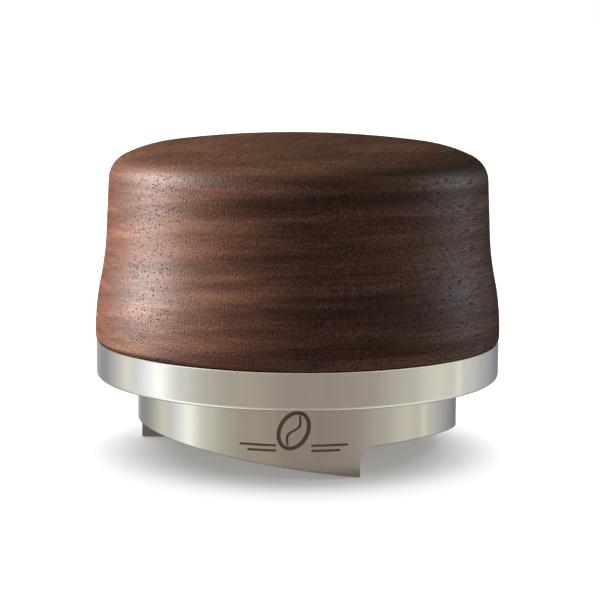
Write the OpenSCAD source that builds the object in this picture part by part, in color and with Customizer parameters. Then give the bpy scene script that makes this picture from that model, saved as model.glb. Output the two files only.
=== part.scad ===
// Adjustable coffee leveller: a steel base with three sloping faces on a threaded stem, and a
// wooden palm grip on a steel collar that screws up and down the stem to set the working depth.
// Millimetres, +Z up. The origin is on the axis, at the height of the three lowest tips.

/* [Base] */
// Diameter of the base, which enters the basket
base_d = 58.5; // [58.5:0.1:72]
// Number of sloping faces under the base
ramp_count = 3; // [2:1:4]
// Tilt of each sloping face
ramp_tilt = 8.9; // [3:0.1:9.5]
// Angle past its step at which a sloping face is highest
ramp_peak_angle = 20; // [5:1:25]
// Direction of the first step, measured round the axis from +X
step_angle = -68.1; // [-180:0.1:180]
// Radius in the corner at the foot of each step
step_fillet_r = 3; // [1:0.1:4]
// Bevel round the top edge of the base
base_bevel = 0.5; // [0.2:0.1:1]
// How far the base's full-width wall stops below the collar
relief_gap = 0.2; // [0.15:0.05:0.5]
// Depth of the relief above that wall
relief_depth = 0.3; // [0.2:0.05:0.5]

/* [Depth setting] */
// How far the collar's underside stands above the lowest tips
depth_set = 13.4; // [12:0.05:16]
// How far the collar can be screwed down from there
travel_down = 8; // [4:0.5:9.5]
// How far the collar can be screwed up from there
travel_up = 1; // [0:0.25:3]
// Height of base still inside the collar when it is screwed right up
base_overlap = 1.55; // [1:0.05:3]

/* [Collar] */
// Width of the collar's rim, from its bore to its outside
rim_w = 7.2; // [5:0.1:12]
// Height of the collar's visible band
band_h = 6.6; // [5:0.1:8]
// Rounding of the band's lower edge
band_foot_r = 0.7; // [0.3:0.1:1.5]
// Bevel of the band's upper edge
band_bevel = 0.35; // [0.2:0.05:0.8]
// Wall of the spigot that centres the wooden grip
spigot_wall = 2; // [1.5:0.1:3]
// Thickness of the web across the collar
web_t = 5; // [4:0.1:7]

/* [Stem and bush] */
// Outside diameter of the threaded stem
stem_d = 28; // [22:0.5:28]
// Width of the flange round the stem's foot
stem_flange_w = 6; // [5:0.5:8]
// Thickness of that flange
stem_flange_t = 3; // [2:0.1:4]
// Stem left above the bush when it is screwed right up
stem_spare = 1.15; // [0.5:0.05:2]
// Wall of the stem's hollow
stem_wall = 5; // [3.5:0.5:5]
// Thickness of the stem's floor, which the bolt clamps
stem_floor_t = 6; // [4:0.5:8]
// Wall of the threaded bush
bush_wall = 4.3; // [3.5:0.1:4.3]
// Thickness of the bush's flange
bush_flange_t = 2.5; // [2:0.1:3]
// Length of the bush, flange included
bush_h = 14; // [12:0.5:15]
// Section diameter of the rubber ring inside the bush
ring_section_d = 2; // [1.5:0.1:2.4]

/* [Fasteners] */
// Thread diameter of the bolt that holds the stem
bolt_d = 6; // [5:0.5:8]
// Length of that bolt under its head
bolt_len = 12; // [10:0.5:13]
// Diameter of the dowel pins that stop the stem turning
dowel_d = 3; // [2:0.5:4]
// Length of those pins
dowel_len = 5; // [4:0.5:6]
// Thread diameter of the screws that hold the bush
bush_screw_d = 2; // [1.6:0.2:2]
// Thread diameter of the screws that hold the wooden grip
grip_screw_d = 3; // [2.5:0.5:3.5]
// Length of those screws
grip_screw_len = 10; // [9:0.5:12]
// Outside diameter of the brass inserts in the wood
insert_d = 5; // [4.5:0.1:6]
// Length of those inserts
insert_len = 6.5; // [5.5:0.5:8]
// Number of screws of each kind round the circle
screw_count = 4; // [3:1:6]

/* [Wooden grip] */
// How far the grip's widest ring stands out past the collar
grip_proud = 0.1; // [0:0.05:1]
// Height of the grip above the collar
grip_h = 37.1; // [34:0.1:45]
// Height of the widest ring above the grip's foot
belly_h = 1.6; // [1:0.1:4]
// Radius of the outward curve above the widest ring
belly_r = 47; // [30:1:60]
// Angle that this outward curve turns through
belly_turn = 12; // [9:0.1:14]
// Radius of the inward curve of the waist
waist_r = 50; // [30:1:60]
// Angle that the waist turns back through
waist_turn = 9.3; // [3:0.1:10]
// Radius of the tight lower part of the shoulder
shoulder_r = 4.9; // [4:0.1:8]
// Angle of that lower part
shoulder_turn = 61; // [45:1:65]
// Radius of the wide upper part of the shoulder
crown_edge_r = 24; // [12:0.5:30]
// Angle of that upper part, which leaves the crown's own slope
crown_edge_turn = 18.9; // [10:0.1:20]
// Radius that eases the grip's lower edge
grip_foot_r = 0.8; // [0.3:0.1:1]

/* [Clearances] */
// Gap all round between the base and the collar
base_gap = 0.3; // [0.2:0.05:0.5]
// Running gap between the stem and the bush
thread_gap = 0.05; // [0.03:0.01:0.08]
// Gap left at the end of the travel
stop_gap = 0.35; // [0.2:0.05:0.6]
// Locating gap between pieces that stay still
seat_gap = 0.05; // [0.02:0.01:0.1]
// Gap all round the rubber ring, which is drawn relaxed
ring_gap = 0.15; // [0.1:0.01:0.2]
// Room round the bush and the stem inside the wood
wood_gap = 0.5; // [0.3:0.1:1]
// Air left over the top of the stem
head_room = 1; // [0.5:0.1:2]
// Hole left beyond the end of a screw or a pin
pilot_room = 0.5; // [0.3:0.1:1]
// Metal left round a sunk screw head
head_edge = 0.3; // [0.2:0.05:0.5]

/* [Hidden] */
$fn = 96;
cut = 1;            // how far a cutter runs past the face it opens
far = 100;          // larger than the whole object

// Radii, from the axis outwards
stem_r = stem_d / 2;
stem_flange_r = stem_r + stem_flange_w;
dowel_circle_r = stem_r + stem_flange_w / 2;
bush_bore_r = stem_r + thread_gap;
ring_mid_r = bush_bore_r + ring_gap + ring_section_d / 2;
bush_r = bush_bore_r + bush_wall;
bush_flange_r = bush_r + 2 * (head_r(bush_screw_d) + seat_gap + head_edge);
bush_screw_ring_r = (bush_r + bush_flange_r) / 2;
base_r = base_d / 2;
relief_r = base_r - relief_depth;
collar_bore_r = base_r + base_gap;
grip_screw_ring_r = (bush_flange_r + seat_gap + collar_bore_r) / 2;
spigot_r = collar_bore_r + spigot_wall;
collar_r = collar_bore_r + rim_w;
grip_r = collar_r + grip_proud;

// Heights, from the base upwards
base_h = depth_set + travel_up + base_overlap;
base_wall_z = depth_set - relief_gap;             // top of the wall that enters the basket
stem_foot_z = base_h - stem_flange_t;
stem_floor_z = stem_foot_z + stem_floor_t;
collar_top_z = depth_set + band_h;
web_z = base_h + travel_down + stop_gap;          // underside of the collar's web
web_top_z = web_z + web_t;
bush_top_z = web_z + bush_h;
ring_z = web_z + bush_h / 2;                      // middle of the rubber ring
stem_top_z = bush_top_z + travel_up + stem_spare;
hollow_top_z = stem_top_z + travel_down + head_room;
grip_top_z = collar_top_z + grip_h;

// Sloping faces: height on the axis that puts the lowest tips at zero
ramp_sweep = 360 / ramp_count;
ramp_axis_z = -base_r * tan(ramp_tilt) * cos(ramp_sweep - ramp_peak_angle);
centre_flat_r = step_fillet_r / sin(ramp_sweep / 2);   // flat where the faces' corners meet

// Fasteners: a tapped hole and the screw in it are both drawn at the thread's core
core_cut = 0.1;                                   // how far the core lies inside the thread
bolt_core_r = bolt_d / 2 - core_cut;
bush_screw_core_d = bush_screw_d - 2 * core_cut;
bolt_head_r = 0.83 * bolt_d;
washer_t = 0.25 * bolt_d;
bolt_head_z = stem_floor_z + washer_t;

// ---------------------------------------------------------------- shared shapes

// Points of an arc about a centre, from one angle to another
function arc(centre, r, from, to, steps) =
    [for (i = [0:steps]) let (a = from + (to - from) * i / steps)
        [centre[0] + r * cos(a), centre[1] + r * sin(a)]];

// Copies of the children spaced evenly round the axis at one radius
module ring_of(count, r, start = 0) {
    for (i = [0:count - 1])
        rotate(start + 360 * i / count) translate([r, 0, 0]) children();
}

// Upright solid bore or pin from one height to another
module post(r, from, to) {
    translate([0, 0, from]) cylinder(r = r, h = to - from);
}

// Head of a countersunk screw: its radius and its height
function head_r(d) = 0.95 * d;
function head_h(d) = 0.55 * d;

// Countersunk screw, head down: head face at zero, tip at its length
module flat_screw(d, len) {
    difference() {
        union() {
            cylinder(r1 = head_r(d), r2 = d / 2, h = head_h(d));
            cylinder(r = d / 2, h = len);
        }
        translate([0, 0, -cut]) cylinder(d = 0.8 * d, h = cut + 0.4 * d, $fn = 6);
    }
}

// Room for that screw's head and shank
module flat_screw_hole(d, len) {
    cylinder(r1 = head_r(d) + seat_gap, r2 = d / 2 + seat_gap, h = head_h(d));
    translate([0, 0, -cut]) cylinder(r = head_r(d) + seat_gap, h = cut);
    cylinder(r = d / 2 + seat_gap, h = len);
}

// ---------------------------------------------------------------- base

// Air under one sloping face, seen along the step: the step's wall on the left, its rounded
// corner, and the face running off to the right
module ramp_air(across_slope) {
    r = step_fillet_r;
    corner = [r, r * tan(across_slope) - r / cos(across_slope)];
    polygon(concat(arc(corner, r, 180, 90 + across_slope, 10),
        [[far, far * tan(across_slope)], [far, -far], [0, -far]]));
}

// Cuts one sloping face and the step where it starts, on the +Y side of the step
module ramp_cutter() {
    along_slope = atan(tan(ramp_tilt) * cos(ramp_peak_angle));
    across_slope = atan(tan(ramp_tilt) * sin(ramp_peak_angle) * cos(along_slope));
    translate([0, 0, ramp_axis_z]) rotate([0, -along_slope, 0]) rotate([90, 0, 90])
        linear_extrude(height = 2 * far, center = true) ramp_air(across_slope);
}

// Round base with its sloping faces, and a seat for the stem in its top
module base() {
    color("silver") difference() {
        rotate_extrude() polygon([[0, -cut], [base_r, -cut], [base_r, base_wall_z],
            [relief_r, base_wall_z], [relief_r, base_h - base_bevel],
            [relief_r - base_bevel, base_h], [0, base_h]]);
        for (i = [0:ramp_count - 1]) rotate(step_angle + ramp_sweep * i) ramp_cutter();
        post(centre_flat_r, -2 * cut, ramp_axis_z);
        post(stem_flange_r + seat_gap, stem_foot_z, base_h + cut);
        post(bolt_core_r, bolt_head_z - bolt_len - pilot_room, base_h);
        ring_of(2, dowel_circle_r)
            post(dowel_d / 2, stem_foot_z - dowel_len / 2 - pilot_room, base_h);
    }
}

// ---------------------------------------------------------------- stem and what holds it

// Flanged hollow stem that the bush screws along
module stem() {
    color("gainsboro") difference() {
        union() {
            post(stem_flange_r, stem_foot_z, base_h);
            post(stem_r, stem_foot_z, stem_top_z);
        }
        post(stem_r - stem_wall, stem_floor_z, stem_top_z + cut);
        post(bolt_d / 2 + seat_gap, stem_foot_z - cut, stem_floor_z + cut);
        ring_of(2, dowel_circle_r) post(dowel_d / 2, stem_foot_z - cut, base_h + cut);
    }
}

// Two dowel pins between the base and the stem's flange
module stem_pins() {
    color("dimgray") ring_of(2, dowel_circle_r)
        post(dowel_d / 2, stem_foot_z - dowel_len / 2, stem_foot_z + dowel_len / 2);
}

// Socket-head bolt down through the stem's floor into the base
module stem_bolt() {
    color("dimgray") difference() {
        union() {
            post(bolt_head_r, bolt_head_z, bolt_head_z + bolt_d);
            post(bolt_core_r, bolt_head_z - bolt_len, bolt_head_z);
        }
        translate([0, 0, bolt_head_z + bolt_d / 2]) cylinder(d = bolt_d, h = bolt_d, $fn = 6);
    }
}

// Spring washer under the bolt's head
module stem_washer() {
    color("gray") difference() {
        post(bolt_head_r + washer_t / 2, stem_floor_z, bolt_head_z);
        post(bolt_d / 2 + seat_gap, stem_floor_z - cut, bolt_head_z + cut);
    }
}

// Rubber ring in the bush's groove, dragging on the stem so that the setting stays put
module friction_ring() {
    color("black") rotate_extrude() translate([ring_mid_r, ring_z]) circle(d = ring_section_d);
}

// ---------------------------------------------------------------- collar and bush

// Steel collar: the visible band, the spigot inside the wood and the web that carries the bush
module collar() {
    color("lightgray") difference() {
        rotate_extrude() difference() {
            polygon(concat([[bush_r + seat_gap, depth_set]],
                arc([collar_r - band_foot_r, depth_set + band_foot_r], band_foot_r, -90, 0, 6),
                [[collar_r, collar_top_z - band_bevel], [collar_r - band_bevel, collar_top_z],
                 [spigot_r, collar_top_z], [spigot_r, web_top_z],
                 [bush_r + seat_gap, web_top_z]]));
            square([collar_bore_r, web_z]);
            square([bush_flange_r + seat_gap, web_z + bush_flange_t]);
        }
        ring_of(screw_count, bush_screw_ring_r, 180 / screw_count)
            post(bush_screw_core_d / 2, web_z, web_top_z + cut);
        ring_of(screw_count, grip_screw_ring_r)
            translate([0, 0, web_z]) flat_screw_hole(grip_screw_d, web_t + cut);
    }
}

// Brass bush with the inside thread, its flange let into the underside of the web
module thread_bush() {
    groove_half = ring_section_d / 2 + ring_gap;
    color("goldenrod") difference() {
        union() {
            post(bush_flange_r, web_z, web_z + bush_flange_t);
            post(bush_r, web_z, bush_top_z);
        }
        post(bush_bore_r, web_z - cut, bush_top_z + cut);
        post(ring_mid_r + groove_half, ring_z - groove_half, ring_z + groove_half);
        ring_of(screw_count, bush_screw_ring_r, 180 / screw_count)
            translate([0, 0, web_z]) flat_screw_hole(bush_screw_d, bush_flange_t + cut);
    }
}

// Countersunk screws up through the bush's flange into the web
module bush_screws() {
    color("dimgray") ring_of(screw_count, bush_screw_ring_r, 180 / screw_count)
        translate([0, 0, web_z]) flat_screw(bush_screw_core_d, web_t - pilot_room);
}

// ---------------------------------------------------------------- wooden grip

// Brass inserts in the wood for the grip's screws
module handle_inserts() {
    color("goldenrod") ring_of(screw_count, grip_screw_ring_r) difference() {
        post(insert_d / 2, web_top_z, web_top_z + insert_len);
        post(grip_screw_d / 2, web_top_z - cut, web_top_z + insert_len + cut);
    }
}

// Countersunk screws up through the web into the inserts
module handle_screws() {
    color("dimgray") ring_of(screw_count, grip_screw_ring_r)
        translate([0, 0, web_z]) flat_screw(grip_screw_d, grip_screw_len);
}

// Points of an arc that carries on from a point. lean is the outline's angle from upright
// towards the axis; a positive turn leans it further in, a negative one stands it up again
function walk(from, lean, r, turn, steps) =
    let (s = sign(turn), centre = from - s * r * [cos(lean), sin(lean)])
        [for (i = [1:steps]) let (a = lean + turn * i / steps)
            centre + s * r * [cos(a), sin(a)]];

function last(points) = points[len(points) - 1];

// Outside of the grip from its foot to the middle of its top: a belly, a waist, a straight
// side, a two-radius shoulder and a crown, each running into the next
function grip_outline() = let (
    foot = arc([grip_r - grip_foot_r, collar_top_z + grip_foot_r], grip_foot_r, -90, 0, 4),
    widest = [grip_r, collar_top_z + belly_h],
    belly = walk(widest, 0, belly_r, belly_turn, 8),
    waist = walk(last(belly), belly_turn, waist_r, -waist_turn, 8),
    lean = belly_turn - waist_turn,
    shoulder = walk([0, 0], lean, shoulder_r, shoulder_turn, 12),
    edge = walk(last(shoulder), lean + shoulder_turn, crown_edge_r, crown_edge_turn, 6),
    crown_slope = 90 - lean - shoulder_turn - crown_edge_turn,
    rise = tan(crown_slope / 2),
    // the straight side takes up the height that the other stretches leave
    side_h = (grip_top_z - last(waist)[1] - last(edge)[1]
        - (last(waist)[0] + last(edge)[0]) * rise) / (1 - tan(lean) * rise),
    side_top = last(waist) + side_h * [-tan(lean), 1],
    crown_r = (side_top[0] + last(edge)[0]) / sin(crown_slope),
    crown = arc([0, grip_top_z - crown_r], crown_r, 90 - crown_slope, 90, 10))
    concat(foot, [widest], belly, waist, [side_top], [for (p = shoulder) side_top + p],
        [for (p = edge) side_top + p], [for (i = [1:10]) crown[i]]);

// Turned walnut grip, hollow for the collar's spigot, the bush and the stem
module handle() {
    color("saddlebrown") difference() {
        rotate_extrude() polygon(concat([[0, collar_top_z]], grip_outline()));
        post(spigot_r + seat_gap, collar_top_z - cut, web_top_z + seat_gap);
        post(bush_r + wood_gap, web_top_z, bush_top_z + wood_gap);
        post(stem_r + 2 * wood_gap, web_top_z, hollow_top_z);
        ring_of(screw_count, grip_screw_ring_r)
            post(insert_d / 2, web_top_z, web_top_z + insert_len + pilot_room);
    }
}

base();
stem();
stem_pins();
stem_bolt();
stem_washer();
friction_ring();
collar();
thread_bush();
bush_screws();
handle_inserts();
handle_screws();
handle();
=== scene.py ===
# %% [markdown]
# # An adjustable coffee leveller, from its CAD frame
#
# The tool is a palm-sized puck: a steel base with three sloping faces under it, a steel collar
# that the base slides into, and a turned walnut grip on top. Turning the grip screws the collar
# up or down the base, which sets how deep the base reaches into the basket.
#
# The CAD model gives every size and every joint. This script loads it as a fixed frame, then
# builds the pieces again as fine meshes where a close look needs more than the CAD mesh holds,
# and gives each piece its finish.

# %% Load the frame
import math

import bmesh
import bpy
from mathutils import Matrix, Vector


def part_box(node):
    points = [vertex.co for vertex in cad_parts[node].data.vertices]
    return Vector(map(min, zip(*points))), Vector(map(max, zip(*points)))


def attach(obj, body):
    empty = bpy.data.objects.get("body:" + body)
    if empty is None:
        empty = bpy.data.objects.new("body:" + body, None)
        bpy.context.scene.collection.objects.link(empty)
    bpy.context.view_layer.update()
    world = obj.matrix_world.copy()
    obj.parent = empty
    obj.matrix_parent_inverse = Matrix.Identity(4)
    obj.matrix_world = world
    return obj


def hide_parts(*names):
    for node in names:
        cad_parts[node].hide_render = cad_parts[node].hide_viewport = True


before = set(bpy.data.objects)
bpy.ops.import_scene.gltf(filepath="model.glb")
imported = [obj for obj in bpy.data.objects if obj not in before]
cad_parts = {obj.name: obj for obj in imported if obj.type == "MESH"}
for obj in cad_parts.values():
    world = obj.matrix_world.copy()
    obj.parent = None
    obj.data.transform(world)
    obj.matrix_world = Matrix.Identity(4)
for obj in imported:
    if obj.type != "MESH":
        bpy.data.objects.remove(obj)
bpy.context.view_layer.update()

# %% [markdown]
# ## Sizes from the frame
#
# Radii and heights are read from the CAD nodes' boxes, so the meshes below fit the frame to the
# micron. Only the small shapes that a box doesn't tell, such as a bevel or an arc's radius, are
# named here. Everything is in metres; `MM` keeps small sizes readable.

# %% Named sizes
MM = 0.001


def ends(node):
    """Lowest height, highest height and radius of a round CAD node."""
    low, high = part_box(node)
    return low.z, high.z, (high.x - low.x) / 2


_, BASE_TOP, BASE_R = ends("base")
STEM_FOOT, STEM_TOP, STEM_FLANGE_R = ends("stem")
COLLAR_FOOT, WEB_TOP, COLLAR_R = ends("collar")
GRIP_FOOT, GRIP_TOP, GRIP_R = ends("handle")
BUSH_FOOT, BUSH_TOP, BUSH_FLANGE_R = ends("thread_bush")
BOLT_TIP, _, _ = ends("stem_bolt")

SEAT_GAP = 0.05 * MM  # between pieces that stay still
BASE_GAP = 0.3 * MM  # all round the base, inside the collar
SPIGOT_WALL = 2 * MM
BUSH_WALL = 4.3 * MM
BUSH_FLANGE_T = 2.5 * MM
STEM_R = 14 * MM
BUSH_R = STEM_R + SEAT_GAP + BUSH_WALL
BORE_R = BASE_R + BASE_GAP
SPIGOT_R = BORE_R + SPIGOT_WALL
PILOT_ROOM = 0.5 * MM  # hole left beyond the end of a fastener
print("collar", round(COLLAR_FOOT / MM, 2), "to", round(GRIP_FOOT / MM, 2), "mm")

# %% [markdown]
# ## Camera
#
# The tool is seen a little from above, from about a forearm's length, with a long lens, so
# the rims are shallow ellipses. The camera leans by less than half a degree.

# %% Camera
CAMERA_PLACE = Vector((0.4, -350, 78.5)) * MM
LOOK_DOWN = math.radians(8.42)
LEAN = math.radians(0.4)
LENS = 115.9  # on a sensor 36 wide, both in millimetres

camera_data = bpy.data.cameras.new("camera")
camera_data.sensor_width = 36
camera_data.lens = LENS
camera_data.clip_start = 0.01
camera = bpy.data.objects.new("camera", camera_data)
bpy.context.scene.collection.objects.link(camera)
camera.matrix_world = (
    Matrix.Translation(CAMERA_PLACE)
    @ Matrix.Rotation(math.radians(90) - LOOK_DOWN, 4, "X")
    @ Matrix.Rotation(LEAN, 4, "Z")
)
bpy.context.scene.camera = camera
bpy.context.scene.view_settings.view_transform = "Standard"
print("lens", LENS, "mm, place", [round(c, 4) for c in CAMERA_PLACE])

# %% [markdown]
# ## Helpers for outlines and lathe work
#
# Nearly every piece here was made on a lathe, so it is an outline spun round an axis. An
# outline could be typed as a list of points, but arcs worked out from a centre and two angles
# keep it true and short. `walk` goes on from the last point at the same slope, which is how a
# turner's curves run into each other.


# %% Outline helpers
def arc(centre, r, start, end, steps):
    """Points of an arc in the outline's plane, with angles in degrees."""
    points = []
    for i in range(steps + 1):
        a = math.radians(start + (end - start) * i / steps)
        points.append((centre[0] + r * math.cos(a), centre[1] + r * math.sin(a)))
    return points


def walk(point, lean, r, turn, steps):
    """Points of an arc that carries on from a point. lean is the outline's angle from upright
    towards the axis, and a positive turn leans it further in."""
    side = math.copysign(1, turn)
    a = math.radians(lean)
    centre = (point[0] - side * r * math.cos(a), point[1] - side * r * math.sin(a))
    start = lean if turn > 0 else lean + 180
    return arc(centre, r, start, start + turn, steps)[1:]


print("a quarter of a unit arc:", [[round(c, 2) for c in p] for p in arc((0, 0), 1, 0, 90, 2)])

# %% [markdown]
# A mesh is made in a bmesh, which is Blender's workbench for vertices and faces, and then
# becomes an object. Edges sharper than `CRISP` stay crisp and all others shade smoothly. A hole
# is cut with an exact Boolean, whose result is kept as the mesh, so nothing is left to solve.

# %% Mesh helpers
CRISP = math.radians(35)


def shade(mesh):
    """Smooth shading with crisp edges."""
    for face in mesh.polygons:
        face.use_smooth = True
    mesh.set_sharp_from_angle(angle=CRISP)


def finish_mesh(name, bm):
    """Turns a bmesh into an object with outward faces."""
    bmesh.ops.remove_doubles(bm, verts=bm.verts, dist=1e-7)
    bmesh.ops.recalc_face_normals(bm, faces=bm.faces)
    mesh = bpy.data.meshes.new(name)
    bm.to_mesh(mesh)
    bm.free()
    shade(mesh)
    made = bpy.data.objects.new(name, mesh)
    bpy.context.scene.collection.objects.link(made)
    print(name, "has", len(mesh.polygons), "faces")
    return made


def weigh_normals(piece):
    """Lets the large faces set the shading, so a small rounded edge doesn't bend them."""
    weighted = piece.modifiers.new("weighted normals", "WEIGHTED_NORMAL")
    weighted.keep_sharp = True


def lathe(name, outline, closed=True, steps=256):
    """Spins an outline of (radius, height) points once round the Z axis."""
    bm = bmesh.new()
    verts = [bm.verts.new((r, 0, z)) for r, z in outline]
    chain = zip(verts, verts[1:] + verts[:1]) if closed else zip(verts, verts[1:])
    edges = [bm.edges.new(pair) for pair in chain]
    bmesh.ops.spin(bm, geom=verts + edges, cent=(0, 0, 0), axis=(0, 0, 1),
                   angle=math.tau, steps=steps, use_merge=True)
    return finish_mesh(name, bm)


def put_cylinder(bm, r1, r2, low, high, place=(0, 0), segments=48):
    """Adds an upright cylinder or cone between two heights to a bmesh."""
    middle = Matrix.Translation((place[0], place[1], (low + high) / 2))
    bmesh.ops.create_cone(bm, cap_ends=True, segments=segments, radius1=r1, radius2=r2,
                          depth=high - low, matrix=middle)


def carve(piece, bm):
    """Cuts the shape in a bmesh out of a piece with an exact Boolean, and keeps the result."""
    cutter = finish_mesh("cutter", bm)
    cut = piece.modifiers.new("cut", "BOOLEAN")
    cut.operation = "DIFFERENCE"
    cut.solver = "EXACT"
    cut.object = cutter
    bpy.context.view_layer.update()
    solved = piece.evaluated_get(bpy.context.evaluated_depsgraph_get())
    mesh = bpy.data.meshes.new_from_object(solved)
    mesh.name = piece.name
    piece.modifiers.clear()
    piece.data = mesh
    bpy.data.objects.remove(cutter)
    shade(mesh)
    return piece


def around(count, r, start=0):
    """Places evenly spaced on a circle round the axis, with the first angle in degrees."""
    turns = [math.radians(start + 360 * i / count) for i in range(count)]
    return [(r * math.cos(a), r * math.sin(a)) for a in turns]


print("edges over", round(math.degrees(CRISP)), "degrees stay crisp")

# %% [markdown]
# ## Node helper
#
# Every finish is procedural. A shader tree built by hand is long, so one helper adds a node,
# sets its choices and fills its sockets, from a number, a colour or another node's output.


# %% Shader helper
class Finish:
    """A material under construction, with one Principled shader."""

    def __init__(self, name):
        self.material = bpy.data.materials.new(name)
        self.material.use_nodes = True
        self.tree = self.material.node_tree
        self.shader = self.tree.nodes["Principled BSDF"]

    def add(self, kind, feeds=(), **choices):
        """Adds a node; feeds fill its inputs in order, or by name when given as a dict."""
        made = self.tree.nodes.new("ShaderNode" + kind)
        for choice, value in choices.items():
            setattr(made, choice, value)
        pairs = feeds.items() if isinstance(feeds, dict) else enumerate(feeds)
        for socket, value in pairs:
            self.feed(made.inputs[socket], value)
        return made

    def feed(self, socket, value):
        """Fills one socket from a constant or links it to an output."""
        if isinstance(value, bpy.types.Node):
            value = value.outputs[0]
        if isinstance(value, bpy.types.NodeSocket):
            self.tree.links.new(value, socket)
        elif value is not None:
            socket.default_value = value

    def math(self, operation, *feeds):
        return self.add("Math", feeds, operation=operation).outputs[0]

    def mix(self, factor, a, b, blend="MIX"):
        """Mixes two colours."""
        made = self.add("Mix", data_type="RGBA", blend_type=blend)
        self.feed(made.inputs["Factor"], factor)
        self.feed(made.inputs["A"], a)
        self.feed(made.inputs["B"], b)
        return made.outputs["Result"]

    def ramp(self, value, low, high):
        """Goes smoothly from 0 to 1 as value goes from low to high."""
        made = self.add("MapRange", {"Value": value, "From Min": low, "From Max": high},
                        interpolation_type="SMOOTHSTEP")
        return made.outputs["Result"]

    def noise(self, vector, scale, detail=2.0, roughness=0.5):
        made = self.add("TexNoise", {"Vector": vector, "Scale": scale, "Detail": detail,
                                     "Roughness": roughness})
        return made.outputs["Fac"]

    def place(self, turn=0.0, stretch=(1, 1, 1)):
        """Object coordinates, turned about Z and then stretched."""
        coordinates = self.add("TexCoord").outputs["Object"]
        turned = self.add("Mapping", {"Vector": coordinates, "Rotation": (0, 0, turn)})
        return self.add("Mapping", {"Vector": turned, "Scale": stretch}).outputs[0]

    def bump(self, height, strength, distance):
        made = self.add("Bump", {"Strength": strength, "Distance": distance, "Height": height})
        self.feed(self.shader.inputs["Normal"], made.outputs["Normal"])

    def surface(self, **values):
        """Sets the shader's own sockets; an underscore in a name stands for a space."""
        for name, value in values.items():
            self.feed(self.shader.inputs[name.replace("_", " ")], value)


def colour(r, g, b):
    """A colour socket's value, in linear light."""
    return (r, g, b, 1.0)


print("shader helper ready")

# %% [markdown]
# ## Walnut
#
# The grip is turned from one block of walnut with the fibres lying flat. They point to the
# front, turned a little to one side, so the end grain shows there. Three things make walnut
# read as walnut: soft bands where the growth rings are cut, open pores that are dots on end
# grain and dashes along the grain, and fine fibres.
#
# A picture wrapped round the grip would show a seam and would smear on the crown. Instead the
# wood is a solid pattern in space: rings are the distance from a pith that runs along the
# fibres well below the grip, and pores are cells stretched along the fibres. Where the surface
# cuts across the fibres the cells show as dots, and at the sides as dashes, as in real timber.
# On the crown the pores show fainter, and the crown is darkened a little, which is painted shade.


# %% Growth rings
FIBRE_TURN = math.radians(21)
PITH = Vector((25, 0, -190)) * MM
RING_SPACING = 4.2 * MM
RING_SWAY = 5 * MM


def stretched(x, y, z):
    """Repeats per metre for a pattern whose features are x, y and z millimetres long."""
    return (1000 / x, 1000 / y, 1000 / z)


def growth_rings(wood):
    """How dark the late wood makes each growth ring, as a share."""
    sway = wood.add("TexNoise", {"Vector": wood.place(FIBRE_TURN, stretched(55, 120, 22)),
                                 "Scale": 1.0, "Detail": 2.0})
    sway = wood.add("VectorMath", (sway.outputs["Color"], (0.5, 0.5, 0.5)),
                    operation="SUBTRACT")
    sway = wood.add("VectorMath", {0: sway, "Scale": RING_SWAY}, operation="SCALE")
    bent = wood.add("VectorMath", (wood.place(FIBRE_TURN), sway), operation="ADD")
    parts = wood.add("SeparateXYZ", (bent,))
    across = wood.math("SUBTRACT", parts.outputs["X"], PITH.x)
    height = wood.math("SUBTRACT", parts.outputs["Z"], PITH.z)
    from_pith = wood.math("SQRT", wood.math(
        "ADD", wood.math("POWER", across, 2.0), wood.math("POWER", height, 2.0)))
    ring = wood.math("DIVIDE", from_pith, RING_SPACING)
    phase = wood.math("FRACT", ring)
    late = wood.math("MULTIPLY", wood.ramp(phase, 0.2, 0.9), wood.ramp(phase, 1.0, 0.9))
    year = wood.add("TexNoise", {"W": ring, "Scale": 0.8, "Detail": 2.0},
                    noise_dimensions="1D").outputs["Fac"]
    return late, year


print("rings every", round(RING_SPACING / MM, 1), "mm")

# %% [markdown]
# Walnut's pores are open tubes. They could be cut as real holes, but there are thousands, so
# Voronoi cells stand in for them: each cell holds one round dot, whose size comes from the
# cell's own random number, so that a few cells hold hardly any.


# %% Pores
def pores(wood, cell, length, radius):
    """Cells stretched along the fibres: dots on end grain and dashes along the grain. cell and
    length are in millimetres, and radius is a share of the cell."""
    along = wood.place(FIBRE_TURN, stretched(cell, length, cell))
    cells = wood.add("TexVoronoi", {"Vector": along, "Scale": 1.0, "Randomness": 0.9})
    pick = wood.add("SeparateColor", (cells.outputs["Color"],)).outputs["Red"]
    size = wood.math("MULTIPLY", wood.ramp(pick, 0.0, 0.65), radius)
    deep = wood.math("SUBTRACT", size, cells.outputs["Distance"])
    return wood.ramp(deep, -0.06, 0.06)


print("pore helper ready")

# %% [markdown]
# The colour comes from a sum of four noises: wide figure, whole years, long streaks and single
# fibres, each with its share of the tone. The sum picks a brown from a ramp, and the pores are
# laid over it as dark, rough hollows. The crown is told from the sides by which way it faces,
# and is darkened a little there as painted shade.

# %% Walnut finish
# CROWN_SHADE is how strongly the crown is darkened as painted shade
CROWN_SHADE = 0.4
WIDE, YEARS, STREAKS, FIBRES, LATE = 0.4, 0.2, 0.44, 0.62, 0.06
DARK_BROWN = colour(0.042, 0.0155, 0.009)
MID_BROWN = colour(0.125, 0.049, 0.029)
PALE_BROWN = colour(0.26, 0.125, 0.068)
PORE_BROWN = colour(0.012, 0.005, 0.0035)
# painted shade: the dark brown that the upward-facing crown is mixed towards
PAINTED_SHADE_BROWN = colour(0.06, 0.045, 0.028)


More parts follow.
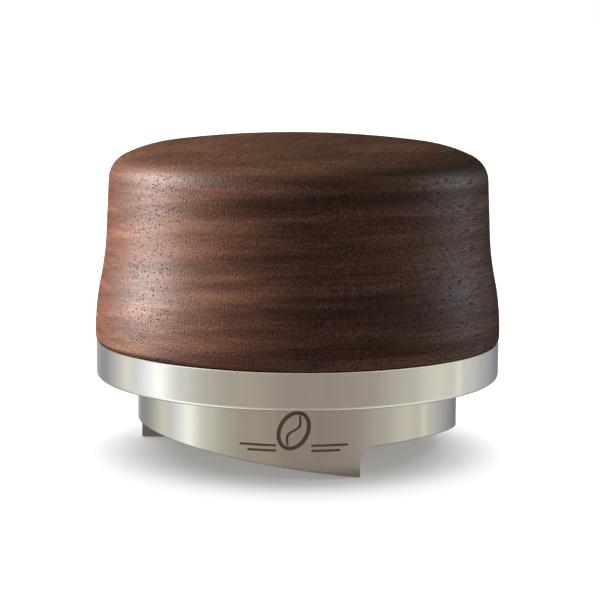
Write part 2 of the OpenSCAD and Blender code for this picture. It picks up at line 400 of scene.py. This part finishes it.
def walnut():
    """Bands, streaks and fibres as a brown, with pores over it and painted shade on the crown."""
    wood = Finish("oiled_walnut")
    late, year = growth_rings(wood)
    figure = wood.noise(wood.place(FIBRE_TURN, stretched(34, 80, 7)), 1.0, 3.0, 0.55)
    streak = wood.noise(wood.place(FIBRE_TURN, stretched(14, 60, 1.1)), 1.0, 3.0, 0.6)
    fibre = wood.noise(wood.place(FIBRE_TURN, stretched(0.36, 12, 0.28)), 1.0, 3.0, 0.6)

    tone = wood.math("MULTIPLY", late, -LATE)
    for part, share in ((figure, WIDE), (year, YEARS), (streak, STREAKS), (fibre, FIBRES)):
        tone = wood.math("ADD", tone, wood.math("MULTIPLY", part, share))
    tones = wood.add("ValToRGB", (wood.ramp(tone, 0.5, 1.14),))
    stops = tones.color_ramp
    stops.elements[0].color = DARK_BROWN
    stops.elements[1].color = PALE_BROWN
    stops.elements.new(0.5).color = MID_BROWN

    large = pores(wood, 0.74, 10, 0.27)
    small = pores(wood, 0.42, 7, 0.32)
    holes = wood.math("MAXIMUM", large, wood.math("MULTIPLY", small, 0.75))
    up = wood.add("SeparateXYZ", (wood.add("NewGeometry").outputs["Normal"],)).outputs["Z"]
    crown = wood.ramp(up, 0.15, 0.95)
    filled = wood.math("SUBTRACT", 1.0, wood.math("MULTIPLY", crown, 0.6))
    holes = wood.math("MULTIPLY", holes, filled)
    skin = wood.mix(wood.math("MULTIPLY", holes, 0.54), tones.outputs["Color"], PORE_BROWN)
    # painted shade: the crown, told by which way it faces, is darkened towards a flat brown
    skin = wood.mix(wood.math("MULTIPLY", crown, CROWN_SHADE), skin, PAINTED_SHADE_BROWN)
    rough = wood.math("ADD", 0.33, wood.math("MULTIPLY", fibre, 0.14))
    rough = wood.math("ADD", rough, wood.math("MULTIPLY", holes, 0.3))
    relief = wood.math("SUBTRACT", wood.math("MULTIPLY", fibre, 0.35), holes)
    wood.surface(Base_Color=skin, Roughness=rough, IOR=1.5, Specular_IOR_Level=0.36)
    wood.bump(relief, 0.36, 0.1 * MM)
    return wood.material


WALNUT = walnut()
print("made", WALNUT.name)

# %% [markdown]
# ## Turned steel
#
# The collar and the base are faced and polished on a lathe, which leaves fine rings round the
# axis. The rings make reflections spread up and down, so the steel shows upright bands. That is
# an anisotropic highlight with its direction taken round the axis, plus a fine bump that
# depends only on the distance from the axis and the height.


# %% Steel finishes
def turned_steel(name, tint, roughness, groove, strength):
    """groove is the usual width of a tool mark, and strength how deep the marks read."""
    steel = Finish(name)
    parts = steel.add("SeparateXYZ", (steel.place(),))
    squares = [steel.math("POWER", parts.outputs[axis], 2.0) for axis in "XY"]
    radius = steel.math("SQRT", steel.math("ADD", *squares))
    rings = steel.add("CombineXYZ", {"X": radius, "Z": parts.outputs["Z"]})
    marks = steel.noise(rings, 1 / groove, 4.0, 0.65)
    wide = steel.noise(rings, 0.12 / groove, 2.0)
    cloud = steel.noise(steel.place(), 70.0, 3.0)
    shade = steel.math("ADD", steel.math("MULTIPLY", marks, 0.28),
                       steel.math("MULTIPLY", cloud, 0.08))
    base = steel.mix(shade, colour(*tint), colour(*[0.72 * c for c in tint]))
    rough = steel.math("ADD", roughness - 0.06, steel.math("MULTIPLY", marks, 0.10))
    rough = steel.math("ADD", rough, steel.math("MULTIPLY", wide, 0.04))
    tangent = steel.add("Tangent", direction_type="RADIAL", axis="Z")
    steel.surface(Base_Color=base, Roughness=rough, Metallic=1.0, Anisotropic=0.7,
                  Anisotropic_Rotation=0.25, Tangent=tangent.outputs[0])
    steel.bump(marks, strength, 0.01 * MM)
    return steel.material


COLLAR_STEEL = turned_steel("bright_turned_steel", (0.87, 0.855, 0.83), 0.2, 0.16 * MM, 0.2)
BASE_STEEL = turned_steel("satin_turned_steel", (0.75, 0.725, 0.67), 0.2, 0.13 * MM, 0.2)
INNER_STEEL = turned_steel("machined_steel", (0.62, 0.61, 0.6), 0.34, 0.2 * MM, 0.4)
print("made", COLLAR_STEEL.name, BASE_STEEL.name, INNER_STEEL.name)

# %% [markdown]
# ## Brass, zinc-plated steel and rubber
#
# The bush and the inserts are turned brass, the screws are plated steel with a faintly blotched
# sheen, and the friction ring is dull rubber. They hide inside the tool but are real pieces.


# %% Inner finishes
def blotched(name, tint, metallic, roughness, spread):
    """A plain finish broken up by soft blotches and a fine tooth."""
    coat = Finish(name)
    cloud = coat.noise(coat.place(), 420.0, 3.0)
    tooth = coat.noise(coat.place(), 9000.0, 2.0)
    base = coat.mix(cloud, colour(*tint), colour(*[0.7 * c for c in tint]))
    rough = coat.math("ADD", roughness, coat.math("MULTIPLY", cloud, spread))
    coat.surface(Base_Color=base, Roughness=rough, Metallic=metallic)
    coat.bump(tooth, 0.1, 0.01 * MM)
    return coat.material


BRASS = turned_steel("turned_brass", (0.79, 0.58, 0.27), 0.26, 0.18 * MM, 0.3)
PLATED = blotched("plated_steel", (0.45, 0.46, 0.48), 1.0, 0.3, 0.12)
RUBBER = blotched("ring_rubber", (0.022, 0.022, 0.023), 0.0, 0.6, 0.2)
print("made", BRASS.name, PLATED.name, RUBBER.name)

# %% [markdown]
# ## The walnut grip
#
# One outline makes it: a small eased edge at the foot, a belly that swells just past the
# collar, a slight waist for the fingers, an almost upright side, a shoulder in two radii and a
# shallow crown. Inside it is bored in three steps, for the collar's spigot, for the bush and
# for the stem, so the piece is a thick shell like the real one and not a solid block.


# %% Grip outline
def grip_outline():
    """Points of the grip's outside, from its foot to the middle of the crown."""
    foot_r, belly_h = 0.8 * MM, 1.6 * MM
    belly_r, waist_r = 47 * MM, 50 * MM
    belly_turn, waist_turn = 12.0, -9.3
    shoulder_r, shoulder_turn = 4.9 * MM, 61
    edge_r, edge_turn = 24 * MM, 18.9
    points = arc((GRIP_R - foot_r, GRIP_FOOT + foot_r), foot_r, -90, 0, 6)
    points.append((GRIP_R, GRIP_FOOT + belly_h))
    points += walk(points[-1], 0, belly_r, belly_turn, 14)
    points += walk(points[-1], belly_turn, waist_r, waist_turn, 14)
    lean = belly_turn + waist_turn
    # the shoulder and the crown's edge are walked from zero, to find how far they reach
    shoulder = walk((0, 0), lean, shoulder_r, shoulder_turn, 20)
    shoulder += walk(shoulder[-1], lean + shoulder_turn, edge_r, edge_turn, 10)
    slope = math.radians(90 - lean - shoulder_turn - edge_turn)
    rise = math.tan(slope / 2)
    inward, upward = shoulder[-1]
    waist_x, waist_z = points[-1]
    side = (GRIP_TOP - waist_z - upward - (waist_x + inward) * rise)
    side /= 1 - math.tan(math.radians(lean)) * rise
    top_x, top_z = waist_x - side * math.tan(math.radians(lean)), waist_z + side
    points += [(waist_x + (top_x - waist_x) * i / 8, waist_z + side * i / 8)
               for i in range(1, 9)]
    points += [(top_x + x, top_z + z) for x, z in shoulder]
    crown_r = (top_x + inward) / math.sin(slope)
    points += arc((0, GRIP_TOP - crown_r), crown_r, 90 - math.degrees(slope), 90, 24)[1:]
    return points


print("grip outline has", len(grip_outline()), "points")

# %% [markdown]
# The bores are added to the same outline, so one spin makes the whole shell. Only the four
# blind holes for the inserts aren't round the axis, and they are cut afterwards.

# %% Grip
WOOD_GAP = 0.5 * MM  # room round the bush and, doubled, round the stem
STEM_TRAVEL = 9 * MM  # how far the stem rises into the wood, with air to spare
INSERT_R = 2.5 * MM


def grip():
    """The shell with its bores, and then the holes for the inserts."""
    hollow_r, hollow_top = STEM_R + 2 * WOOD_GAP, STEM_TOP + STEM_TRAVEL
    bush_room_r, bush_room_top = BUSH_R + WOOD_GAP, BUSH_TOP + WOOD_GAP
    seat_r, seat_top = SPIGOT_R + SEAT_GAP, WEB_TOP + SEAT_GAP
    inside = [(0, hollow_top), (hollow_r, hollow_top), (hollow_r, bush_room_top),
              (bush_room_r, bush_room_top), (bush_room_r, seat_top), (seat_r, seat_top),
              (seat_r, GRIP_FOOT)]
    piece = lathe("walnut_grip", inside + grip_outline(), closed=False, steps=360)
    return carve(piece, insert_holes())


def insert_holes():
    """Blind holes for the brass inserts, at the places that the CAD inserts give."""
    low, top, reach = ends("handle_inserts")
    bm = bmesh.new()
    for place in around(4, reach - INSERT_R):
        put_cylinder(bm, INSERT_R, INSERT_R, low - 1 * MM, top + PILOT_ROOM, place)
    return bm


walnut_grip = grip()
weigh_normals(walnut_grip)
walnut_grip.data.materials.append(WALNUT)
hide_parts("handle")
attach(walnut_grip, "grip_unit")

# %% [markdown]
# ## The steel collar
#
# The collar is one turned ring: the bright band that shows, a bore that the base slides into, a
# thin spigot that centres the wood, and a web that carries the brass bush. What the eye catches
# is its edges, so the band gets a small round below, a bevel above and an eased bore mouth. The web
# is drilled for two rings of screws: four with sunk heads hold the wood, and four hold the bush.


# %% Collar
GRIP_SCREW_R, GRIP_SCREW_HEAD_R, GRIP_SCREW_HEAD_H = 1.55 * MM, 2.9 * MM, 1.65 * MM
BUSH_SCREW_R = 0.9 * MM
PAST = 1 * MM  # how far a cutter runs past the face that it opens


def collar():
    """The collar's outline spun round the axis, and its two rings of screw holes."""
    foot_r, bevel, mouth = 0.7 * MM, 0.35 * MM, 0.1 * MM
    bush_seat_r, bush_seat_top = BUSH_FLANGE_R + SEAT_GAP, BUSH_FOOT + BUSH_FLANGE_T
    outline = [(BORE_R, COLLAR_FOOT + mouth), (BORE_R + mouth, COLLAR_FOOT)]
    outline += arc((COLLAR_R - foot_r, COLLAR_FOOT + foot_r), foot_r, -90, 0, 8)
    outline += arc((COLLAR_R - bevel, GRIP_FOOT - bevel), bevel, 0, 90, 6)
    outline += [(SPIGOT_R, GRIP_FOOT), (SPIGOT_R, WEB_TOP), (BUSH_R + SEAT_GAP, WEB_TOP),
                (BUSH_R + SEAT_GAP, bush_seat_top), (bush_seat_r, bush_seat_top),
                (bush_seat_r, BUSH_FOOT), (BORE_R, BUSH_FOOT)]
    piece = lathe("steel_collar", outline, steps=360)
    low, _, reach = ends("handle_screws")
    screw_ring_r = reach - GRIP_SCREW_HEAD_R + SEAT_GAP
    bm = bmesh.new()
    for place in around(4, screw_ring_r):
        # the sunk head's cone goes on past the web's face, so it starts lower and wider
        put_cylinder(bm, GRIP_SCREW_HEAD_R + PAST, GRIP_SCREW_R, low - 1.22 * MM,
                     low + GRIP_SCREW_HEAD_H, place)
        put_cylinder(bm, GRIP_SCREW_R, GRIP_SCREW_R, low + GRIP_SCREW_HEAD_H / 2,
                     WEB_TOP + PAST, place)
    piece = carve(piece, bm)
    tapped = bmesh.new()
    for place in around(4, (BUSH_R + BUSH_FLANGE_R) / 2, 45):
        put_cylinder(tapped, BUSH_SCREW_R, BUSH_SCREW_R, bush_seat_top - PAST, WEB_TOP + PAST,
                     place)
    return carve(piece, tapped)


steel_collar = collar()
weigh_normals(steel_collar)
steel_collar.data.materials.append(COLLAR_STEEL)
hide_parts("collar")
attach(steel_collar, "grip_unit")

# %% [markdown]
# ## The base and its three sloping faces
#
# Seen from below, the base is three flat faces, each tilted by about nine degrees, that run down to
# an edge and end in a step with a rounded corner. It could be a cylinder with three cutters
# taken out of it, but then its edges would stay knife-sharp, and real ones are eased with a
# stone. So each face starts as a fan: a radial line of points is swept through a third of a
# turn, and each point is then lifted to the height that the face has there. The easing of the
# rim and of the step's edge is part of that height.


# %% Heights under the base
RAMPS = 3
STEP_START = math.radians(-68.1)
RAMP_TILT = math.radians(8.9)
RAMP_PEAK = math.radians(20)
CORNER_R = 3 * MM
SWEEP = math.tau / RAMPS
EDGE = 0.15 * MM  # radius of the eased edges
AXIS_Z = -BASE_R * math.tan(RAMP_TILT) * math.cos(SWEEP - RAMP_PEAK)
FLAT_R = CORNER_R / math.sin(SWEEP / 2)
ALONG = math.atan(math.tan(RAMP_TILT) * math.cos(RAMP_PEAK))
ACROSS = math.atan(math.tan(RAMP_TILT) * math.sin(RAMP_PEAK) * math.cos(ALONG))


def ramp_height(x, y, ramp):
    """Height of one sloping face with its rounded corner, or None behind its step."""
    a = STEP_START + SWEEP * ramp
    out, past = x * math.cos(a) + y * math.sin(a), y * math.cos(a) - x * math.sin(a)
    if past < -1e-9:
        return None
    drop = past * math.tan(ACROSS)
    if past < CORNER_R * (1 - math.sin(ACROSS)):
        centre = CORNER_R * math.tan(ACROSS) - CORNER_R / math.cos(ACROSS)
        drop = centre + math.sqrt(max(CORNER_R**2 - (CORNER_R - past) ** 2, 0))
    return AXIS_Z + out * math.tan(ALONG) + drop / math.cos(ALONG)


def eased(distance):
    """How far a rounded edge rises at a distance in from the edge."""
    inside = max(EDGE - max(distance, 0), 0)
    return EDGE - math.sqrt(EDGE**2 - inside**2)


def underside(x, y, ramp):
    """Height of the base's underside inside one ramp's third of a turn."""
    heights = [ramp_height(x, y, ramp), ramp_height(x, y, ramp - 1)]
    r = math.hypot(x, y)
    if r < FLAT_R:
        heights.append(AXIS_Z)
    z = max(h for h in heights if h is not None)
    end = STEP_START + SWEEP * (ramp + 1)
    to_step = x * math.sin(end) - y * math.cos(end)
    if r > FLAT_R:
        z += eased(to_step) * min(1, (r - FLAT_R) / CORNER_R)
    return z + eased(BASE_R - r)


print("the faces' corners meet", round(AXIS_Z / MM, 2), "mm above the tips")

# %% [markdown]
# A fan's points stand closer together where its surface bends: near the axis, at the rim, in
# the first degrees past its step, where the rounded corner is, and in the last two, at the tip.


# %% One fan
def fan(bm, ramp):
    """One third of the underside, and the points of its first and last radial lines."""
    start = STEP_START + SWEEP * ramp
    radii = [0.0, 1.2, 2.4, 3.46] + [4 + 1.5 * i for i in range(17)]
    radii = [r * MM for r in radii if r * MM < BASE_R - 2 * EDGE]
    radii += [BASE_R - EDGE * (1 - math.sin(math.radians(15 * i))) for i in range(7)]
    line = [bm.verts.new((r * math.cos(start), r * math.sin(start), 0)) for r in radii]
    geom = line + [bm.edges.new(pair) for pair in zip(line, line[1:])]
    first, made = line, list(line)
    fine, finest = math.radians(12), math.radians(2)
    for angle, steps in ((fine, 24), (SWEEP - fine - finest, 53), (finest, 16)):
        swept = bmesh.ops.spin(bm, geom=geom, cent=(0, 0, 0), axis=(0, 0, 1), angle=angle,
                               steps=steps, use_merge=False)
        geom = swept["geom_last"]
    last = sorted((v for v in geom if isinstance(v, bmesh.types.BMVert)),
                  key=lambda v: v.co.xy.length)
    # every point of this fan, found by going from edge to edge from its first line
    seen, todo = set(first), list(first)
    while todo:
        for edge in todo.pop().link_edges:
            for vert in edge.verts:
                if vert not in seen:
                    seen.add(vert)
                    todo.append(vert)
    for vert in seen:
        vert.co.z = underside(vert.co.x, vert.co.y, ramp)
    return first, last, seen


print("a fan sweeps", round(math.degrees(SWEEP)), "degrees")

# %% [markdown]
# The fans are joined by the steps' upright walls, and a skirt is raised from their rims. At
# each step the skirt's upright edge meets two corners, the tip's and the corner of the next
# face, so that edge gets a point where the next face starts, and the two skirts then merge.


# %% Joined fans
def set_ring(verts, r, z):
    """Moves points out or in to a radius, and up or down to a height."""
    for vert in verts:
        vert.co = Vector((vert.co.x, vert.co.y, 0)).normalized() * r
        vert.co.z = z


def base():
    """The three fans, the steps between them and the wall up to the collar."""
    bm = bmesh.new()
    wall_top = COLLAR_FOOT - 0.06 * MM
    fans = [fan(bm, ramp) for ramp in range(RAMPS)]
    for ramp, (first, _, _) in enumerate(fans):
        last = fans[ramp - 1][1]
        for i in range(len(first) - 1):
            corners = [last[i], last[i + 1], first[i + 1], first[i]]
            bmesh.ops.contextual_create(bm, geom=corners)
    for _, _, verts in fans:
        rim = [e for e in bm.edges
               if all(v in verts and v.co.xy.length > BASE_R - 1e-8 for v in e.verts)]
        skirt = bmesh.ops.extrude_edge_only(bm, edges=rim)["geom"]
        set_ring([v for v in skirt if isinstance(v, bmesh.types.BMVert)], BASE_R, wall_top)
    for ramp, (first, _, _) in enumerate(fans):
        tip, corner = fans[ramp - 1][1][-1], first[-1]
        upright = max(tip.link_edges, key=lambda e: e.calc_length())
        share = (corner.co.z - tip.co.z) / (wall_top - tip.co.z)
        bmesh.utils.edge_split(upright, tip, share)
    bmesh.ops.remove_doubles(bm, verts=bm.verts, dist=1e-7)
    return bm, wall_top


print("made the fans' helpers")

# %% [markdown]
# From the top of the wall the skirt is carried on ring by ring: in to the relief that runs in
# the collar, up and over the bevelled top, and down into the seat for the stem's flange, whose
# floor closes the shell. The bolt's and the pins' holes are then drilled in that floor.

# %% Base
RELIEF_DEPTH, TOP_BEVEL = 0.3 * MM, 0.5 * MM
BOLT_CORE_R, DOWEL_R = 2.9 * MM, 1.5 * MM


def close_base(bm, wall_top):
    """Raises the relief, the bevelled top and the stem's seat on the skirt."""
    loop = [e for e in bm.edges if e.is_boundary]
    relief_r = BASE_R - RELIEF_DEPTH
    seat_r = STEM_FLANGE_R + SEAT_GAP
    rings = [(relief_r, wall_top), (relief_r, BASE_TOP - TOP_BEVEL),
             (relief_r - TOP_BEVEL, BASE_TOP), (seat_r, BASE_TOP),
             (seat_r, STEM_FOOT), (8 * MM, STEM_FOOT), (1 * MM, STEM_FOOT)]
    for r, z in rings:
        raised = bmesh.ops.extrude_edge_only(bm, edges=loop)["geom"]
        set_ring([v for v in raised if isinstance(v, bmesh.types.BMVert)], r, z)
        loop = [e for e in raised if isinstance(e, bmesh.types.BMEdge) and e.is_boundary]
    bmesh.ops.contextual_create(bm, geom=loop)
    piece = finish_mesh("steel_base", bm)
    holes = bmesh.new()
    put_cylinder(holes, BOLT_CORE_R, BOLT_CORE_R, BOLT_TIP - PILOT_ROOM, STEM_FOOT + PAST)
    pin_low, _, pin_reach = ends("stem_pins")
    for place in around(2, pin_reach - DOWEL_R):
        put_cylinder(holes, DOWEL_R, DOWEL_R, pin_low - PILOT_ROOM, STEM_FOOT + PAST, place)
    return carve(piece, holes)


steel_base = close_base(*base())
weigh_normals(steel_base)
steel_base.data.materials.append(BASE_STEEL)
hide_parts("base")
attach(steel_base, "base_unit")

# %% [markdown]
# ## The laser mark
#
# A small mark is burnt into the front of the base. Here it is a plain coffee bean between two
# thin lines. It could be painted by the steel's finish, but a narrow line comes out crisper as
# a piece of its own: flat shapes are made in a plane, given a hair's thickness, and wrapped
# round the wall.


# %% Mark
def laser_mark():
    """A bean's outline, its crease and four bars, wrapped round the wall a hair proud of it."""
    bm = bmesh.new()
    turn = Matrix.Rotation(math.radians(-28), 4, "Z")
    loops = []
    for wide, tall in ((2.7, 3.6), (2.0, 2.95)):
        shape = turn @ Matrix.Diagonal((wide * MM, tall * MM, 1, 1))
        ring = bmesh.ops.create_circle(bm, segments=72, radius=1, matrix=shape)["verts"]
        loops += list({edge for vert in ring for edge in vert.link_edges})
    bmesh.ops.bridge_loops(bm, edges=loops)
    crease = []
    for i in range(25):
        v = (i / 12 - 1) * 2.8
        crease.append(bm.verts.new(turn @ Vector((0.5 * math.sin(v * 1.35) - 0.22, v, 0)) * MM))
    line = [bm.edges.new(pair) for pair in zip(crease, crease[1:])]
    widened = bmesh.ops.extrude_edge_only(bm, edges=line)["geom"]
    bmesh.ops.translate(bm, vec=turn @ Vector((0.44, 0, 0)) * MM,
                        verts=[v for v in widened if isinstance(v, bmesh.types.BMVert)])
    for side in (-1, 1):
        for reach, height in ((3.2, -2.6), (2.5, -3.5)):
            bar = Matrix.Diagonal((reach * MM, 0.2 * MM, 1, 1))
            bar = Matrix.Translation(Vector((side * (3.0 + reach), height, 0)) * MM) @ bar
            bmesh.ops.create_grid(bm, x_segments=16, y_segments=1, size=1, matrix=bar)
    bmesh.ops.recalc_face_normals(bm, faces=bm.faces)
    bmesh.ops.solidify(bm, geom=bm.faces[:] + bm.edges[:] + bm.verts[:], thickness=0.03 * MM)
    middle = math.radians(-91)
    for vert in bm.verts:
        a = middle + vert.co.x / BASE_R
        r = BASE_R + 0.01 * MM - abs(vert.co.z)
        vert.co = Vector((r * math.cos(a), r * math.sin(a), vert.co.y + 8.6 * MM))
    return finish_mesh("laser_mark", bm)


burnt = blotched("laser_burnt_steel", (0.2, 0.14, 0.095), 0.35, 0.5, 0.1)
mark = laser_mark()
mark.data.materials.append(burnt)
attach(mark, "base_unit")

# %% [markdown]
# ## Pieces inside
#
# The stem, the bush and the fasteners keep their CAD meshes, which are already right, and only
# take a finish.

# %% Inner pieces
FINISHES = {
    "stem": INNER_STEEL, "stem_pins": PLATED, "stem_bolt": PLATED, "stem_washer": PLATED,
    "friction_ring": RUBBER, "thread_bush": BRASS, "bush_screws": PLATED,
    "handle_inserts": BRASS, "handle_screws": PLATED,
}
for node, finish in FINISHES.items():
    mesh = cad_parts[node].data
    mesh.materials.clear()
    mesh.materials.append(finish)
print("finished", len(FINISHES), "CAD nodes")

# %% [markdown]
# ## Studio
#
# The floor is a plain white sheet under an even ceiling of soft light, which leaves only a soft
# shadow under the tool. Light linking keeps each light to what it is for: the ceiling lights
# the floor, and a warm window on the left and a weak cool one on the right light the wood.


# %% Floor
def floor_sheet():
    """A large sheet of white paper that reflections don't see."""
    bm = bmesh.new()
    bmesh.ops.create_grid(bm, x_segments=1, y_segments=1, size=6)
    sheet = finish_mesh("floor", bm)
    paper = Finish("white_paper")
    tooth = paper.noise(paper.place(), 900.0, 3.0)
    paper.surface(Base_Color=colour(0.9, 0.9, 0.9), Roughness=0.9, Specular_IOR_Level=0.0)
    paper.bump(tooth, 0.02, 0.05 * MM)
    sheet.data.materials.append(paper.material)
    sheet.visible_glossy = False
    sheet.visible_diffuse = False
    return sheet


floor = floor_sheet()

# %% [markdown]
# A sun with a very wide angle is a whole sky of even light. It leans a little, so that the
# shadow comes forward. A second one that casts no shadow keeps the first one's shadow pale.

# %% Lights
SKY_SPREAD = math.radians(110)
SKY_LEAN = math.radians(-34)
WINDOW_DISTANCE = 0.8


def lights_only(light, name, *pieces):
    """Limits a light to some pieces."""
    group = bpy.data.collections.new(name)
    for piece in pieces:
        group.objects.link(piece)
    light.light_linking.receiver_collection = group


def window(name, turn, height, size, power, tint):
    """A soft light of a width and a height, at a turn in degrees from the front to the right."""
    light = bpy.data.lights.new(name, "AREA")
    light.shape = "RECTANGLE"
    light.size, light.size_y = size
    light.energy = power
    light.color = tint
    made = bpy.data.objects.new(name, light)
    bpy.context.scene.collection.objects.link(made)
    a = math.radians(turn)
    made.location = (WINDOW_DISTANCE * math.sin(a), -WINDOW_DISTANCE * math.cos(a), height)
    aim = Vector((0, 0, 0.04)) - made.location
    made.rotation_euler = aim.to_track_quat("-Z", "Y").to_euler()
    return made


for name, energy, shades in (("ceiling", 2.6, True), ("room", 2.4, False)):
    sky = bpy.data.lights.new(name, "SUN")
    sky.angle = SKY_SPREAD
    sky.energy = energy
    sky.use_shadow = shades
    above = bpy.data.objects.new(name, sky)
    above.rotation_euler.x = SKY_LEAN
    bpy.context.scene.collection.objects.link(above)
    lights_only(above, "lit_by_" + name, floor)
warm = window("warm_window", turn=-96, height=0.22, size=(0.42, 0.9), power=30.0,
              tint=(1.0, 0.93, 0.88))
lights_only(warm, "lit_by_warm_window", walnut_grip)
cool = window("cool_window", turn=108, height=0.15, size=(0.5, 0.7), power=3.0,
              tint=(0.76, 0.9, 1.0))
lights_only(cool, "lit_by_cool_window", walnut_grip)
print("made", warm.name, cool.name)

# %% [markdown]
# ## What the steel mirrors
#
# Polished steel is a mirror, so what it shows is the room. A photographer hangs white and grey
# cloths round the table to draw bands on it. Here the cloths are one round screen that only
# reflections see, with soft upright bands of light and shade. It could be built from a dozen
# area lights, but then the wood would catch them all; a screen hidden from every other ray
# changes the steel alone.

# %% Reflection screen
# a turn in degrees from the front to the right, and the cloth's colour there
BANDS = [
    (-180, (0.40, 0.39, 0.38)), (-165, (0.56, 0.56, 0.58)), (-146, (0.30, 0.31, 0.32)),
    (-133, (0.34, 0.35, 0.35)), (-119, (0.60, 0.60, 0.57)), (-108, (0.88, 0.83, 0.72)),
    (-102, (0.74, 0.73, 0.69)), (-94, (0.86, 0.91, 0.97)), (-87, (1.08, 1.11, 1.10)),
    (-80, (1.42, 1.41, 1.32)), (-73, (0.80, 0.83, 0.79)), (-62, (0.67, 0.66, 0.58)),
    (-53, (0.54, 0.52, 0.44)), (-42, (0.45, 0.42, 0.35)), (-22, (0.42, 0.37, 0.30)),
    (-6, (0.35, 0.29, 0.26)), (18, (0.34, 0.29, 0.26)), (38, (0.37, 0.33, 0.29)),
    (55, (0.48, 0.45, 0.40)), (70, (0.60, 0.58, 0.52)), (82, (0.75, 0.73, 0.63)),
    (93, (0.68, 0.65, 0.55)), (109, (0.68, 0.66, 0.61)), (120, (0.51, 0.54, 0.53)),
    (134, (0.40, 0.42, 0.41)), (145, (0.28, 0.29, 0.31)), (155, (0.20, 0.21, 0.23)),
    (170, (0.34, 0.34, 0.34)),
]
GLINT, GLINT_WIDTH = math.radians(100.5), math.radians(2.2)
GLINT_GAIN, ABOVE_GAIN, BELOW_GAIN, FOLD_GAIN = 0.75, 0.7, 0.4, 0.5
SCREEN_R, SCREEN_FOOT, SCREEN_TOP = 0.7, -0.7, 0.9


def reflection_screen():
    """A round tent of cloth, brighter high up and low down, with one narrow bright slit."""
    outline = [(0.0, SCREEN_FOOT), (SCREEN_R, SCREEN_FOOT), (SCREEN_R, 0.6), (0.5, 0.85),
               (0.0, SCREEN_TOP)]
    screen = lathe("reflection_screen", outline, closed=False, steps=64)
    cloth = Finish("screen_cloth")
    parts = cloth.add("SeparateXYZ", (cloth.place(),))
    turn = cloth.math("ARCTAN2", parts.outputs["X"],
                      cloth.math("MULTIPLY", parts.outputs["Y"], -1.0))
    share = cloth.add("MapRange", {"Value": turn, "From Min": -math.pi, "From Max": math.pi})
    bands = cloth.add("ValToRGB", (share.outputs["Result"],))
    stops = bands.color_ramp.elements
    for angle, tint in BANDS:
        stop = stops.new((angle + 180) / 360)
        stop.color = colour(*tint)
    stops.remove(stops[0])
    stops[-1].color = stops[0].color
    from_glint = cloth.math("ABSOLUTE", cloth.math("SUBTRACT", turn, GLINT))
    glint = cloth.ramp(from_glint, GLINT_WIDTH, 0.0)
    above = cloth.ramp(parts.outputs["Z"], 0.3, SCREEN_TOP)
    below = cloth.ramp(parts.outputs["Z"], -0.2, SCREEN_FOOT)
    folds = cloth.noise(cloth.add("CombineXYZ", {"X": turn}), 9.0, 4.0, 0.6)
    strength = cloth.math("ADD", cloth.math("MULTIPLY", folds, FOLD_GAIN), 0.75)
    for more, gain in ((glint, GLINT_GAIN), (above, ABOVE_GAIN), (below, BELOW_GAIN)):
        strength = cloth.math("ADD", strength, cloth.math("MULTIPLY", more, gain))
    cloth.surface(Base_Color=colour(0, 0, 0), Specular_IOR_Level=0.0,
                  Emission_Color=bands.outputs["Color"], Emission_Strength=strength)
    screen.data.materials.append(cloth.material)
    cloth.material.cycles.emission_sampling = "NONE"
    screen.visible_camera = False
    screen.visible_diffuse = False
    screen.visible_shadow = False
    screen.visible_transmission = False
    return screen


lights_only(reflection_screen(), "mirrored_by", steel_collar, steel_base, mark)

# %% [markdown]
# The floor right under the tool is in its shadow, and the steps mirror that. The white sheet is
# hidden from reflections, so a small dark disc that only reflections see stands for it.

# %% Shade under the tool
def shade_disc():
    """A dark disc that only reflections see."""
    bm = bmesh.new()
    bmesh.ops.create_circle(bm, cap_ends=True, segments=64, radius=BASE_R + 6 * MM)
    bmesh.ops.translate(bm, vec=(0, 0, -0.01 * MM), verts=bm.verts)
    disc = finish_mesh("shade", bm)
    dark = Finish("shaded_paper")
    dark.surface(Base_Color=colour(0, 0, 0), Specular_IOR_Level=0.0,
                 Emission_Color=colour(0.16, 0.14, 0.12), Emission_Strength=1.0)
    dark.material.cycles.emission_sampling = "NONE"
    disc.data.materials.append(dark.material)
    disc.visible_camera = False
    disc.visible_diffuse = False
    disc.visible_shadow = False
    return disc


shade_disc()

# %% [markdown]
# ## World
#
# The camera sees plain white behind the floor, and everything else gets only a weak even light
# from all sides, so that the shaded side of the wood stays dark but never black.

# %% World
world = bpy.data.worlds.new("studio")
world.use_nodes = True
bpy.context.scene.world = world
links, nodes = world.node_tree.links, world.node_tree.nodes
backdrop = nodes["Background"]
backdrop.inputs["Color"].default_value = colour(1, 1, 1)
seen = nodes.new("ShaderNodeLightPath")
level = nodes.new("ShaderNodeMapRange")
level.inputs["To Min"].default_value = 0.3
level.inputs["To Max"].default_value = 1.0
links.new(seen.outputs["Is Camera Ray"], level.inputs["Value"])
links.new(level.outputs["Result"], backdrop.inputs["Strength"])
print("world light", level.inputs["To Min"].default_value)
